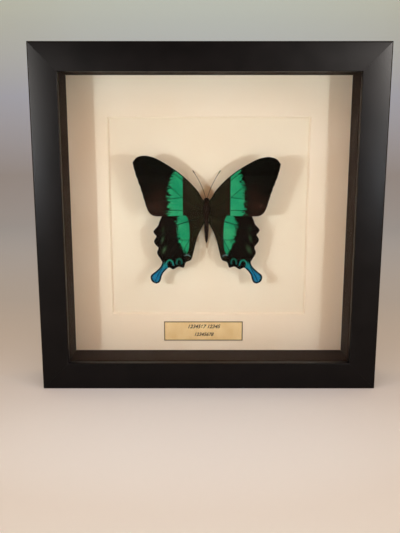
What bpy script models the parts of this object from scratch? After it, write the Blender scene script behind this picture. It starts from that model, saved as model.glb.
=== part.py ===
"""Framed butterfly specimen: a deep black box frame with a glass front, a bevelled window mat, a name
label, and a green-banded swallowtail that floats in the middle of the window.

Units are metres.  +Z is up, the glass faces -Y, and the origin is the middle of the underside.
"""

from math import cos, pi, radians, sin

import bmesh
import bpy
from mathutils import Matrix, Vector

# Driving dimensions of the frame.
SIDE = 0.250
DEPTH = 0.045
RAIL_FACE = 0.020
RAIL_WALL = 0.014
LIP_DEPTH = 0.005
EDGE_RADIUS = 0.0010
GAP = 0.0003
SHARP_ANGLE = radians(30)

# Layers behind the lip, from the glass to the back.
GLASS_THICKNESS = 0.0020
MAT_FRONT = 0.0338
MAT_THICKNESS = 0.0014
CARD_THICKNESS = 0.0015
PANEL_THICKNESS = 0.0030

# The window and the label on the mat.
WINDOW = 0.1515
LABEL_SIZE = (0.0620, 0.0157)
LABEL_CENTRE = (-0.0040, 0.0357)
PAPER_THICKNESS = 0.0002

# Fasteners on the back.
TAB_LENGTH = 0.014
TAB_WIDTH = 0.007
TAB_THICKNESS = 0.0006
TAB_SPREAD = 0.055
HANGER_SIZE = (0.044, 0.009)
HANGER_DROP = 0.030
HANGER_TEETH = 9
HANGER_TOOTH = 0.0015
RIVET_RADIUS = 0.0020
RIVET_SPREAD = 0.0185
RIVET_HEAD = 0.0008

# The specimen: its middle line, and how high its parts float above the mat.
BODY_X = -0.0018
BODY_HEIGHT = 0.0075
WING_THICKNESS = 0.0004
FOREWING_HEIGHT = 0.0103
FOREWING_RISE = 0.13
HINDWING_HEIGHT = 0.0090
HINDWING_RISE = 0.055
SUPPORT_SIZE = (0.0045, 0.009)
SUPPORT_CENTRE_Z = 0.1335

FRONT_Y = -DEPTH / 2
MIDDLE_Z = SIDE / 2
LAYER_SIDE = SIDE - 2 * (RAIL_WALL + GAP)

GLASS_FRONT = LIP_DEPTH + GAP
CARD_FRONT = MAT_FRONT + MAT_THICKNESS + GAP
PANEL_FRONT = CARD_FRONT + CARD_THICKNESS + GAP
PANEL_BACK = PANEL_FRONT + PANEL_THICKNESS
MAT_Y = FRONT_Y + MAT_FRONT


def clear_scene():
    """Remove whatever the scene holds."""
    for item in list(bpy.data.objects):
        bpy.data.objects.remove(item, do_unlink=True)


def new_collection(name):
    """A collection linked to the scene."""
    collection = bpy.data.collections.new(name)
    bpy.context.scene.collection.children.link(collection)
    return collection


clear_scene()
parts = new_collection("framed_butterfly")
cutters = new_collection("cutters")


def material(name, colour, roughness, metallic=0.0):
    """A plain Principled material."""
    made = bpy.data.materials.new(name)
    made.use_nodes = True
    shader = made.node_tree.nodes["Principled BSDF"]
    shader.inputs["Base Color"].default_value = (*colour, 1.0)
    shader.inputs["Roughness"].default_value = roughness
    shader.inputs["Metallic"].default_value = metallic
    return made


def add_object(name, mesh, finish):
    """An object of the assembly, with its one material, smooth where it is round."""
    item = bpy.data.objects.new(name, mesh)
    mesh.name = name
    mesh.materials.clear()
    mesh.materials.append(finish)
    mesh.shade_smooth()
    mesh.set_sharp_from_angle(angle=SHARP_ANGLE)
    parts.objects.link(item)
    return item


def box(name, low, high, finish):
    """A box from its lowest to its highest corner."""
    size = [b - a for a, b in zip(low, high)]
    middle = [(a + b) / 2 for a, b in zip(low, high)]
    shape = bmesh.new()
    bmesh.ops.create_cube(shape, size=1.0)
    bmesh.ops.scale(shape, vec=size, verts=shape.verts)
    mesh = bpy.data.meshes.new(name)
    shape.to_mesh(mesh)
    shape.free()
    item = add_object(name, mesh, finish)
    item.location = middle
    return item


def sheet(name, side, front, thickness, finish):
    """A square layer of the case, centred in the frame, its face at a distance behind the frame's front."""
    low = (-side / 2, FRONT_Y + front, MIDDLE_Z - side / 2)
    high = (side / 2, FRONT_Y + front + thickness, MIDDLE_Z + side / 2)
    return box(name, low, high, finish)


def curve_mesh(curve):
    """The mesh of a curve, with its caps welded on, and the curve removed."""
    guide = bpy.data.objects.new("guide", curve)
    cutters.objects.link(guide)
    seen = guide.evaluated_get(bpy.context.evaluated_depsgraph_get())
    mesh = bpy.data.meshes.new_from_object(seen)
    bpy.data.objects.remove(guide, do_unlink=True)
    bpy.data.curves.remove(curve)
    shape = bmesh.new()
    shape.from_mesh(mesh)
    bmesh.ops.remove_doubles(shape, verts=shape.verts, dist=1e-6)
    bmesh.ops.dissolve_degenerate(shape, edges=shape.edges, dist=1e-7)
    shape.to_mesh(mesh)
    shape.free()
    return mesh


def outline_mesh(points, thickness):
    """A flat plate in the XY plane from the points round its edge, centred on z = 0."""
    curve = bpy.data.curves.new("outline", "CURVE")
    curve.dimensions = "2D"
    curve.fill_mode = "BOTH"
    curve.extrude = thickness / 2
    spline = curve.splines.new("POLY")
    spline.points.add(len(points) - 1)
    for place, (x, y) in zip(spline.points, points):
        place.co = (x, y, 0.0, 1.0)
    spline.use_cyclic_u = True
    return curve_mesh(curve)


def spline_value(a, b, c, d, t):
    """A Catmull-Rom spline between b and c, at a share t of the way."""
    slope = c - a
    bend = 2 * a - 5 * b + 4 * c - d
    twist = 3 * b - a - 3 * c + d
    return b + 0.5 * (slope * t + bend * t**2 + twist * t**3)


def smooth_run(points, steps):
    """Points along a smooth curve through the given ones, open at both ends."""
    guide = [points[0], *points, points[-1]]
    run = []
    for four in zip(guide, guide[1:], guide[2:], guide[3:]):
        for i in range(steps):
            run.append(tuple(spline_value(*values, i / steps) for values in zip(*four)))
    run.append(tuple(points[-1]))
    return run


def arc(centre, radius, start, end, steps=4):
    """Points along an arc, its angles in degrees."""
    angles = [radians(start + (end - start) * i / steps) for i in range(steps + 1)]
    return [(centre[0] + radius * cos(angle), centre[1] + radius * sin(angle)) for angle in angles]


# ---- frame rails and spacers ----------------------------------------------------------------------
# Every bar is made as the bottom one and turned about the middle of the frame for the other sides.

def mitred_bar(profile):
    """The bottom bar of a square frame, from a profile of (height, distance behind the front), mitred."""
    mesh = outline_mesh(profile, SIDE)
    stand_up = Matrix(((0, 0, 1, 0), (0, 1, 0, FRONT_Y), (1, 0, 0, 0), (0, 0, 0, 1)))
    shape = bmesh.new()
    shape.from_mesh(mesh)
    bmesh.ops.transform(shape, matrix=stand_up, verts=shape.verts)
    for end in (-1, 1):
        outward = Vector((end, 0, 1)).normalized()
        corner = Vector((end * SIDE / 2, 0, 0)) - outward * GAP / 2
        everything = shape.verts[:] + shape.edges[:] + shape.faces[:]
        bmesh.ops.bisect_plane(shape, geom=everything, plane_co=corner, plane_no=outward, clear_outer=True)
        open_edges = [edge for edge in shape.edges if edge.is_boundary]
        bmesh.ops.edgeloop_fill(shape, edges=open_edges)
    bmesh.ops.recalc_face_normals(shape, faces=shape.faces)
    shape.to_mesh(mesh)
    shape.free()
    return mesh


def turned_copy(mesh, quarter_turns):
    """A copy of a bottom bar on another side of the frame."""
    copy = mesh.copy()
    to_middle = Matrix.Translation((0, 0, -MIDDLE_Z))
    turn = Matrix.Rotation(-quarter_turns * pi / 2, 4, "Y")
    copy.transform(to_middle.inverted() @ turn @ to_middle)
    return copy


def rail_profile():
    """The moulding: a wall as deep as the frame and a lip over the glass, its front edges eased."""
    inner_radius = EDGE_RADIUS / 2
    return [
        *arc((EDGE_RADIUS, EDGE_RADIUS), EDGE_RADIUS, 180, 270),
        *arc((RAIL_FACE - inner_radius, inner_radius), inner_radius, 270, 360),
        (RAIL_FACE, LIP_DEPTH),
        (RAIL_WALL, LIP_DEPTH),
        (RAIL_WALL, DEPTH),
        (0, DEPTH),
    ]


def spacer_profile():
    """The strip between the glass and the mat, flush with the lip."""
    front = GLASS_FRONT + GLASS_THICKNESS + GAP
    back = MAT_FRONT - GAP
    wall = RAIL_WALL + GAP
    return [(wall, front), (RAIL_FACE, front), (RAIL_FACE, back), (wall, back)]


SIDES = ("bottom", "left", "top", "right")
black_wood = material("black_wood", (0.012, 0.011, 0.012), 0.38)
black_strip = material("black_strip", (0.028, 0.022, 0.020), 0.55)
rail = mitred_bar(rail_profile())
spacer = mitred_bar(spacer_profile())
for turns, side in enumerate(SIDES):
    add_object(f"frame_rail_{side}", turned_copy(rail, turns), black_wood)
    add_object(f"spacer_{side}", turned_copy(spacer, turns), black_strip)
bpy.data.meshes.remove(rail)
bpy.data.meshes.remove(spacer)

# ---- glass, mat, card and back panel ---------------------------------------------------------------

clear_glass = material("clear_glass", (0.86, 0.90, 0.89), 0.03)
cream_board = material("cream_board", (0.80, 0.70, 0.55), 0.85)
mount_board = material("mount_board", (0.82, 0.74, 0.60), 0.88)
hardboard = material("hardboard", (0.26, 0.15, 0.08), 0.75)

sheet("glass_pane", LAYER_SIDE, GLASS_FRONT, GLASS_THICKNESS, clear_glass)
mat = sheet("window_mat", LAYER_SIDE, MAT_FRONT, MAT_THICKNESS, cream_board)
sheet("mount_card", LAYER_SIDE, CARD_FRONT, CARD_THICKNESS, mount_board)
sheet("back_panel", LAYER_SIDE, PANEL_FRONT, PANEL_THICKNESS, hardboard)


def window_cutter():
    """A square plug with sides at 45 degrees: the window is wider at the mat's face than at its back."""
    overshoot = 0.001
    half_depth = MAT_THICKNESS / 2 + overshoot
    front_half = WINDOW / 2 + overshoot
    back_half = front_half - 2 * half_depth
    corner = 2**0.5
    shape = bmesh.new()
    bmesh.ops.create_cone(
        shape, cap_ends=True, segments=4, radius1=back_half * corner, radius2=front_half * corner,
        depth=2 * half_depth,
    )
    bmesh.ops.rotate(shape, cent=(0, 0, 0), matrix=Matrix.Rotation(pi / 4, 3, "Z"), verts=shape.verts)
    mesh = bpy.data.meshes.new("window_cutter")
    shape.to_mesh(mesh)
    shape.free()
    item = bpy.data.objects.new("window_cutter", mesh)
    item.rotation_euler = (pi / 2, 0, 0)
    item.location = (0, MAT_Y + MAT_THICKNESS / 2, MIDDLE_Z)
    item.hide_render = True
    item.display_type = "WIRE"
    cutters.objects.link(item)
    return item


window = mat.modifiers.new("window", "BOOLEAN")
window.object = window_cutter()
window.operation = "DIFFERENCE"

# ---- label -----------------------------------------------------------------------------------------

label_paper = material("label_paper", (0.60, 0.43, 0.21), 0.8)
label_back = MAT_Y - GAP
label_left, label_right = (LABEL_CENTRE[0] + end * LABEL_SIZE[0] / 2 for end in (-1, 1))
label_foot, label_top = (LABEL_CENTRE[1] + end * LABEL_SIZE[1] / 2 for end in (-1, 1))
box(
    "name_label",
    (label_left, label_back - PAPER_THICKNESS, label_foot),
    (label_right, label_back, label_top),
    label_paper,
)

# ---- tabs and hanger on the back -------------------------------------------------------------------
# Flat steel tabs bent down over the back panel, and a toothed hanger riveted to it.

zinc_steel = material("zinc_steel", (0.55, 0.55, 0.53), 0.38, 1.0)
brassed_steel = material("brassed_steel", (0.60, 0.45, 0.20), 0.35, 1.0)


def tab_outline():
    """A strip that starts at the rail's wall and ends in a half circle."""
    radius = TAB_WIDTH / 2
    tip = arc((0, TAB_LENGTH - radius), radius, 0, 180, 9)
    return [(radius, 0), *tip, (-radius, 0)]


def back_plate(name, outline, thickness, front, centre, quarter_turns, finish):
    """A thin plate behind the case: an outline of (x, z) about a centre, turned with its side."""
    mesh = outline_mesh(outline, thickness)
    middle_y = FRONT_Y + front + thickness / 2
    upright = Matrix(((1, 0, 0, centre[0]), (0, 0, -1, middle_y), (0, 1, 0, centre[1]), (0, 0, 0, 1)))
    mesh.transform(upright)
    item = add_object(name, turned_copy(mesh, quarter_turns), finish)
    bpy.data.meshes.remove(mesh)
    return item


FASTENER_FRONT = PANEL_BACK + GAP
tab = tab_outline()
for turns, side in enumerate(SIDES):
    for number, x in enumerate((-TAB_SPREAD, TAB_SPREAD), start=1):
        foot = (x, RAIL_WALL + GAP)
        back_plate(f"flex_tab_{side}_{number}", tab, TAB_THICKNESS, FASTENER_FRONT, foot, turns, zinc_steel)


def hanger_outline():
    """A plate with round ends and a row of teeth that rise from its lower edge."""
    half_length = HANGER_SIZE[0] / 2
    half_height = HANGER_SIZE[1] / 2
    straight = half_length - half_height
    right = arc((straight, 0), half_height, -90, 90, 9)
    left = arc((-straight, 0), half_height, 90, 270, 9)
    pitch = 2 * straight / (2 * HANGER_TEETH)
    teeth = [
        (-straight + step * pitch, -half_height + (HANGER_TOOTH if step % 2 else 0))
        for step in range(1, 2 * HANGER_TEETH)
    ]
    return [*right, *left, *teeth]


HANGER_THICKNESS = 0.0008
hanger_z = SIDE - RAIL_FACE - HANGER_DROP
back_plate(
    "sawtooth_hanger", hanger_outline(), HANGER_THICKNESS, FASTENER_FRONT, (0, hanger_z), 0, brassed_steel
)
rivet_front = FASTENER_FRONT + HANGER_THICKNESS + GAP
for name, x in (("hanger_rivet_1", -RIVET_SPREAD), ("hanger_rivet_2", RIVET_SPREAD)):
    bpy.ops.mesh.primitive_cylinder_add(
        vertices=20, radius=RIVET_RADIUS, depth=RIVET_HEAD, rotation=(pi / 2, 0, 0),
        location=(x, FRONT_Y + rivet_front + RIVET_HEAD / 2, hanger_z),
    )
    rivet = bpy.context.object
    rivet.name = name
    rivet.data.name = name
    rivet.data.materials.append(brassed_steel)
    rivet.data.shade_smooth()
    rivet.data.set_sharp_from_angle(angle=SHARP_ANGLE)
    for owner in list(rivet.users_collection):
        owner.objects.unlink(rivet)
    parts.objects.link(rivet)

# ---- the butterfly ---------------------------------------------------------------------------------
# Right-hand outlines as (distance from the middle line, height above the frame's base), in metres.
# The two wings of a pair are mirror images.

forewing_colour = material("forewing", (0.012, 0.012, 0.008), 0.6)
hindwing_colour = material("hindwing", (0.010, 0.011, 0.009), 0.6)
body_colour = material("body", (0.035, 0.022, 0.014), 0.85)
antenna_colour = material("antenna", (0.060, 0.030, 0.015), 0.6)
cork = material("cork", (0.42, 0.27, 0.15), 0.9)

WING_ROOT = 0.0033
SEAM_Z = 0.1293

LEADING_EDGE = [
    (WING_ROOT, 0.1380), (0.0040, 0.1420), (0.0066, 0.1475), (0.0149, 0.1561), (0.0245, 0.1637),
    (0.0358, 0.1708), (0.0430, 0.1735), (0.0475, 0.1733), (0.0520, 0.1712), (0.0542, 0.1686),
]
OUTER_EDGE = [(0.0542, 0.1686), (0.0522, 0.1600), (0.0482, 0.1490), (0.0443, 0.1357), (0.0418, 0.1312)]
FOREWING_OUTLINE = [
    *smooth_run(LEADING_EDGE, 4)[:-1],
    *smooth_run(OUTER_EDGE, 4),
    (0.0390, SEAM_Z),
    (WING_ROOT, SEAM_Z),
]

SHOULDER = [(WING_ROOT, 0.1310), (0.0200, 0.1325), (0.0310, 0.1310), (0.0350, 0.1268), (0.0360, 0.1234)]
TEETH = [
    (0.0360, 0.1234), (0.0400, 0.1178), (0.0372, 0.1148), (0.0400, 0.1100), (0.0363, 0.1064),
    (0.0374, 0.1006), (0.0342, 0.0955),
]
TAIL = [
    (0.0342, 0.0955), (0.0350, 0.0890), (0.0390, 0.0845), (0.0425, 0.0818), (0.0416, 0.0780),
    (0.0388, 0.0766), (0.0358, 0.0785), (0.0342, 0.0830), (0.0315, 0.0877),
]
INNER_TEETH = [
    (0.0315, 0.0877), (0.0285, 0.0893), (0.0248, 0.0883), (0.0215, 0.0905), (0.0182, 0.0888),
    (0.0162, 0.0932), (0.0121, 0.0949),
]
INNER_MARGIN = [(0.0121, 0.0949), (0.0098, 0.1011), (0.0068, 0.1120), (WING_ROOT, 0.1225)]
HINDWING_OUTLINE = [
    *smooth_run(SHOULDER, 3)[:-1],
    *smooth_run(TEETH, 2)[:-1],
    *smooth_run(TAIL, 3)[:-1],
    *smooth_run(INNER_TEETH, 2)[:-1],
    *smooth_run(INNER_MARGIN, 3),
]


def wing(name, outline, side, height, rise, finish):
    """A flat wing on one side of the body (-1 left, 1 right) that rises off the mat as it goes out."""
    mesh = outline_mesh(outline, WING_THICKNESS)
    place = Matrix((
        (side, 0, 0, BODY_X),
        (-rise, 0, -1, MAT_Y - height),
        (0, 1, 0, 0),
        (0, 0, 0, 1),
    ))
    mesh.transform(place)
    if side < 0:
        mesh.flip_normals()
    return add_object(name, mesh, finish)


for side_name, side in (("left", -1), ("right", 1)):
    wing(f"forewing_{side_name}", FOREWING_OUTLINE, side, FOREWING_HEIGHT, FOREWING_RISE, forewing_colour)
    wing(f"hindwing_{side_name}", HINDWING_OUTLINE, side, HINDWING_HEIGHT, HINDWING_RISE, hindwing_colour)

# The body is turned about its long axis: head, neck, thorax, waist, and a tapering abdomen.
BODY_PROFILE = [
    (0.0000, 0.1426), (0.0014, 0.1420), (0.0019, 0.1406), (0.0014, 0.1391), (0.0020, 0.1380),
    (0.0029, 0.1355), (0.0031, 0.1330), (0.0028, 0.1300), (0.0020, 0.1277), (0.0022, 0.1250),
    (0.0024, 0.1220), (0.0023, 0.1180), (0.0019, 0.1135), (0.0012, 0.1095), (0.0000, 0.1073),
]


def turned_body():
    """The body as a Screw-turned profile on the specimen's middle line."""
    mesh = bpy.data.meshes.new("butterfly_body")
    rungs = smooth_run(BODY_PROFILE, 2)
    mesh.from_pydata([(x, 0.0, z) for x, z in rungs], [(i, i + 1) for i in range(len(rungs) - 1)], [])
    item = add_object("butterfly_body", mesh, body_colour)
    item.location = (BODY_X, MAT_Y - BODY_HEIGHT, 0)
    screw = item.modifiers.new("turn", "SCREW")
    screw.axis = "Z"
    screw.steps = 20
    screw.render_steps = 20
    screw.use_merge_vertices = True
    screw.merge_threshold = 0.00001
    return item


turned_body()

body_radius = max(radius for radius, _ in BODY_PROFILE)
support_front = MAT_Y - BODY_HEIGHT + body_radius + GAP
box(
    "specimen_support",
    (BODY_X - SUPPORT_SIZE[0] / 2, support_front, SUPPORT_CENTRE_Z - SUPPORT_SIZE[1] / 2),
    (BODY_X + SUPPORT_SIZE[0] / 2, FRONT_Y + CARD_FRONT - GAP, SUPPORT_CENTRE_Z + SUPPORT_SIZE[1] / 2),
    cork,
)

ANTENNA_RADIUS = 0.00022
ANTENNA_CLUB = 2.0
ANTENNA_PATH = [(0.0007, 0.1432), (0.0027, 0.1480), (0.0060, 0.1545), (0.0092, 0.1598), (0.0104, 0.1616)]


def antenna(name, side):
    """A thin feeler from the head, thickened into a club at its tip."""
    route = smooth_run(ANTENNA_PATH, 3)
    curve = bpy.data.curves.new(name, "CURVE")
    curve.dimensions = "3D"
    curve.bevel_depth = ANTENNA_RADIUS
    curve.bevel_resolution = 2
    curve.use_fill_caps = True
    spline = curve.splines.new("POLY")
    spline.points.add(len(route) - 1)
    for index, (place, (x, z)) in enumerate(zip(spline.points, route)):
        place.co = (BODY_X + side * x, MAT_Y - BODY_HEIGHT, z, 1.0)
        place.radius = ANTENNA_CLUB if index >= len(route) - 3 else 1.0
    return add_object(name, curve_mesh(curve), antenna_colour)


antenna("antenna_left", -1)
antenna("antenna_right", 1)
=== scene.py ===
"""The looks of the framed butterfly specimen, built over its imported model.

Units are metres.  +Z is up, the glass faces -Y, and the origin is the middle of the underside.
The insect's own patterns are worked out in millimetres and turned to metres where a mesh is made.
A noise or cell pattern's scale counts its features in a metre: 1000 puts them a millimetre apart.
"""

from math import pi

import bmesh
import bpy
import numpy as np
from mathutils import Matrix, Vector


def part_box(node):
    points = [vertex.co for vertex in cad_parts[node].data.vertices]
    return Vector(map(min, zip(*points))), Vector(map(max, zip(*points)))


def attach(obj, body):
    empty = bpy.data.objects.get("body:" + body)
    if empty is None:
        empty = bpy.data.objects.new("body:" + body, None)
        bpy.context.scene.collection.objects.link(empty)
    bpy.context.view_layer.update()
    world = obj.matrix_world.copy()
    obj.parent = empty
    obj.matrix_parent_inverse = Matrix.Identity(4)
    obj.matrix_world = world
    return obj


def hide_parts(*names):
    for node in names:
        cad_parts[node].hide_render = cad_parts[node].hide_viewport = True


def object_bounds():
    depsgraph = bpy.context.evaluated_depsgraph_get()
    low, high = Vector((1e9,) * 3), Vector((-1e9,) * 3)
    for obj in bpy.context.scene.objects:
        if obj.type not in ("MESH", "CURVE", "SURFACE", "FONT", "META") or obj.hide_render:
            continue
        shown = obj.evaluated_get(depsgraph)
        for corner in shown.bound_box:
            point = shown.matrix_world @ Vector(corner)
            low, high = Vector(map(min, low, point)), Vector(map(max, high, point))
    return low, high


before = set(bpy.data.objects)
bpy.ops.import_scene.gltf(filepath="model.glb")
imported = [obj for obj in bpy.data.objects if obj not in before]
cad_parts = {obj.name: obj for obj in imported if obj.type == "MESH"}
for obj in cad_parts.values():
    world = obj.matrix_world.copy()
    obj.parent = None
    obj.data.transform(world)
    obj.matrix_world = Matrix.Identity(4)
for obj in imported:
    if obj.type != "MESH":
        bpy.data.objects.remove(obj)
cad_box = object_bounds()
scene = bpy.context.scene

# ==== camera ==========================================================================================
# A normal lens half a metre in front, above the middle of the frame, looks 12.5 degrees down.  It is
# shifted up a little, which shows more of the wall and less of the floor.

camera = bpy.data.objects.new("camera", bpy.data.cameras.new("camera"))
scene.collection.objects.link(camera)
camera.location = (-0.0067, -0.5283, 0.1917)
camera.rotation_euler = (pi / 2 - 0.219, 0, 0)
camera.data.lens = 47.857
camera.data.shift_y = 0.0375
camera.data.clip_start = 0.01
scene.camera = camera
scene.view_settings.view_transform = "Standard"

# ==== floor and backdrop ==============================================================================
# One sweep of matt paper, paler in front and high on the wall and darker between, which is painted light
# and shade.  It lies flat under the frame and curves up well behind it.

FLOOR_FRONT = -2.5
FLOOR_BACK = 0.85
SWEEP_RADIUS = 0.45
SWEEP_HALF_WIDTH = 4.0
WALL_TOP = 2.2


def linear(colour):
    """An sRGB hex colour as linear red, green, blue and alpha."""
    values = np.array([int(colour[i : i + 2], 16) for i in (1, 3, 5)]) / 255
    values = np.where(values <= 0.04045, values / 12.92, ((values + 0.055) / 1.055) ** 2.4)
    return (*values.tolist(), 1.0)


def new_material(name):
    """An empty node material."""
    made = bpy.data.materials.new(name)
    made.use_nodes = True
    made.node_tree.nodes.clear()
    return made


def add(material, kind, inputs=None, stops=None, **settings):
    """A node in a material or world.  Each input is a value or another node's output.

    Stops are a colour ramp's places and colours; any other setting is a property of the node.
    """
    tree = material.node_tree
    node = tree.nodes.new("ShaderNode" + kind)
    for name, value in settings.items():
        setattr(node, name, value)
    if stops:
        ramp = node.color_ramp
        for _ in stops[2:]:
            ramp.elements.new(0.5)
        for element, (along, colour) in zip(ramp.elements, stops):
            element.position = along
            element.color = linear(colour)
    for name, value in (inputs or {}).items():
        if isinstance(value, bpy.types.NodeSocket):
            tree.links.new(value, node.inputs[name])
        else:
            node.inputs[name].default_value = value
    return node


def surface(name, points, wrap=False, cap=False, weld=1e-7):
    """A mesh from a grid of points: every four neighbours make a face.

    `wrap` joins the last column to the first, `cap` closes the first and last rows with a flat face, and
    points closer than `weld` are merged.
    """
    rows, columns = points.shape[:2]
    index = np.arange(rows * columns).reshape(rows, columns)
    ring = np.concatenate([index, index[:, :1]], axis=1) if wrap else index
    cells = np.stack([ring[:-1, :-1], ring[1:, :-1], ring[1:, 1:], ring[:-1, 1:]], axis=-1)
    faces = cells.reshape(-1, 4).tolist()
    if cap:
        faces += [index[0].tolist(), index[-1, ::-1].tolist()]
    mesh = bpy.data.meshes.new(name)
    mesh.from_pydata(points.reshape(-1, 3).tolist(), [], faces)
    if weld:
        shape = bmesh.new()
        shape.from_mesh(mesh)
        bmesh.ops.remove_doubles(shape, verts=shape.verts, dist=weld)
        if wrap:
            bmesh.ops.recalc_face_normals(shape, faces=shape.faces)
        shape.to_mesh(mesh)
        shape.free()
    mesh.shade_smooth()
    return mesh


def place(name, mesh, material):
    """An object at the origin for a finished mesh."""
    mesh.materials.append(material)
    item = bpy.data.objects.new(name, mesh)
    scene.collection.objects.link(item)
    return item


# Matt studio paper with no gloss.  Its colour is painted light and shade: pale and cool in front and high
# on the wall, darker blue-grey towards the foot of the wall.
paper_sweep = new_material("matt_paper_painted_light_and_shade")
position = add(paper_sweep, "TexCoord").outputs["Object"]
place_in = add(paper_sweep, "SeparateXYZ", {"Vector": position})
run = add(paper_sweep, "Math", {0: place_in.outputs["Y"], 1: place_in.outputs["Z"]}, operation="ADD")
along = add(paper_sweep, "MapRange", {"Value": run.outputs[0], "From Min": -0.34, "From Max": 2.0})
# The ramp's stops are the painted light and shade along the sweep.
tone = add(paper_sweep, "ValToRGB", {"Fac": along.outputs["Result"]}, stops=[
    (0.05, "#F0FFFF"), (0.15, "#E6F2F6"), (0.26, "#CDDEE8"),
    (0.66, "#ABBAC4"), (0.80, "#BEDDFC"), (0.91, "#DCFFFF"),
])
shader = add(paper_sweep, "BsdfPrincipled", {
    "Base Color": tone.outputs["Color"], "Roughness": 0.9, "Specular IOR Level": 0.1,
})
add(paper_sweep, "OutputMaterial", {"Surface": shader.outputs[0]})

# The profile is a line, a quarter circle and a line up to WALL_TOP, carried from side to side.
turn = np.linspace(0, pi / 2, 24)
bend_y = FLOOR_BACK + SWEEP_RADIUS * np.sin(turn)
bend_z = SWEEP_RADIUS * (1 - np.cos(turn))
sweep_y = np.concatenate([[FLOOR_FRONT], bend_y, bend_y[-1:]])
sweep_z = np.concatenate([[0.0], bend_z, [WALL_TOP]])
sweep_x = np.linspace(-SWEEP_HALF_WIDTH, SWEEP_HALF_WIDTH, 3)
sweep_grid = np.stack(np.broadcast_arrays(sweep_x[:, None], sweep_y[None, :], sweep_z[None, :]), axis=-1)
sweep = place("paper_sweep", surface("paper_sweep", sweep_grid), paper_sweep)

# ==== light ===========================================================================================
# Two small lamps in front, one at each side, throw the paired shadows; a soft box overhead fills them.
# The rest serve one thing each: a box aimed at the wall, one for the floor paper, two for the rails.


def soft_lamp(name, at, towards, size, watts, colour="#FFFFFF", spread=pi):
    """An area light at a point, aimed at another; one size makes a disc, two make a rectangle."""
    lamp = bpy.data.lights.new(name, "AREA")
    lamp.shape = "RECTANGLE" if len(size) == 2 else "DISK"
    lamp.size = size[0]
    lamp.size_y = size[-1]
    lamp.energy = watts
    lamp.color = linear(colour)[:3]
    lamp.spread = spread
    item = bpy.data.objects.new(name, lamp)
    aim = Vector(towards) - Vector(at)
    item.location = at
    item.rotation_euler = aim.to_track_quat("-Z", "Y").to_euler()
    scene.collection.objects.link(item)
    return item


LAMP_COLOUR = "#E5F0FB"
soft_lamp("lamp_left", (-0.274, -0.303, 0.152), (0.01, 0.01, 0.145), (0.012,), 0.088, LAMP_COLOUR, 1.3)
soft_lamp("lamp_right", (0.246, -0.303, 0.150), (-0.03, 0.01, 0.145), (0.012,), 0.068, LAMP_COLOUR, 1.3)
soft_lamp("front_top_box", (0.0, -0.7, 0.95), (0.0, 0.0, 0.16), (0.6, 0.3), 0.33, "#FFB186")
soft_lamp("wall_box", (0.0, 0.45, 0.95), (0.0, 1.3, 0.5), (0.9, 0.3), 2.3, "#BEDCFF")
floor_light = soft_lamp(
    "floor_box", (0.0, -0.40, 0.60), (0.0, -0.20, 0.0), (0.5, 0.2), 0.25, "#EAF0FF", 1.2,
)
rail_light = [
    soft_lamp("sheen_left", (-0.36, -0.42, 0.24), (0.0, 0.0, 0.16), (0.12,), 2.8, "#FFFAF4"),
    soft_lamp("sheen_right", (0.36, -0.42, 0.32), (0.0, 0.0, 0.16), (0.12,), 5.8, "#FFF8F2"),
]

paper = bpy.data.collections.new("paper")
scene.collection.children.link(paper)
paper.objects.link(sweep)
floor_light.light_linking.receiver_collection = paper

# The room gives a dim warm fill.  The camera would see it as pale grey, and nothing glossy mirrors it.
room = bpy.data.worlds.new("room")
room.use_nodes = True
seen = add(room, "LightPath").outputs["Is Camera Ray"]
shade = add(room, "Mix", {0: seen, 6: (0.70, 0.392, 0.230, 1.0), 7: linear("#D0CDC8")}, data_type="RGBA")
background = room.node_tree.nodes["Background"]
room.node_tree.links.new(shade.outputs[2], background.inputs["Color"])
scene.world = room
room.cycles_visibility.glossy = False

# ==== frame rails =====================================================================================
# Four lengths of deep wooden box moulding, sprayed satin black and joined in tight mitres.  A wall as
# deep as the frame carries a lip over the glass; the front edges are eased.

SIDE = cad_box[1].z - cad_box[0].z
DEPTH = cad_box[1].y - cad_box[0].y
FRONT_Y = cad_box[0].y
MIDDLE_Z = SIDE / 2
RAIL_FACE = 0.020
RAIL_WALL = 0.014
LIP_DEPTH = 0.005
EDGE_RADIUS = 0.0011
JOINT = 0.00002
QUARTERS = ("bottom", "left", "top", "right")


def arc(centre, radius, start, end, steps=8):
    """Points round a centre, between two angles in degrees."""
    angle = np.radians(np.linspace(start, end, steps + 1))
    return np.stack([centre[0] + radius * np.cos(angle), centre[1] + radius * np.sin(angle)], axis=1)


def bar(name, profile, quarter):
    """One side of a square frame, its ends cut at 45 degrees, turned about the middle by quarter turns.

    The profile holds distances in from the outside and back from the front.
    """
    inward, back = profile[:, 0], profile[:, 1]
    reach = SIDE / 2 - inward - JOINT
    along = np.stack([-reach, reach])
    x, y, z = np.broadcast_arrays(along, FRONT_Y + back, inward - MIDDLE_Z)
    angle = quarter * pi / 2
    turned_x = x * np.cos(angle) + z * np.sin(angle)
    turned_z = z * np.cos(angle) - x * np.sin(angle)
    mesh = surface(name, np.stack([turned_x, y, turned_z + MIDDLE_Z], axis=-1), wrap=True, cap=True)
    mesh.set_sharp_from_angle(angle=0.5)
    return mesh


rail_profile = np.concatenate([
    arc((EDGE_RADIUS, EDGE_RADIUS), EDGE_RADIUS, 180, 270),
    arc((RAIL_FACE - EDGE_RADIUS / 2, EDGE_RADIUS / 2), EDGE_RADIUS / 2, 270, 360),
    [(RAIL_FACE, LIP_DEPTH), (RAIL_WALL, LIP_DEPTH), (RAIL_WALL, DEPTH), (0, DEPTH)],
])

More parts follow.
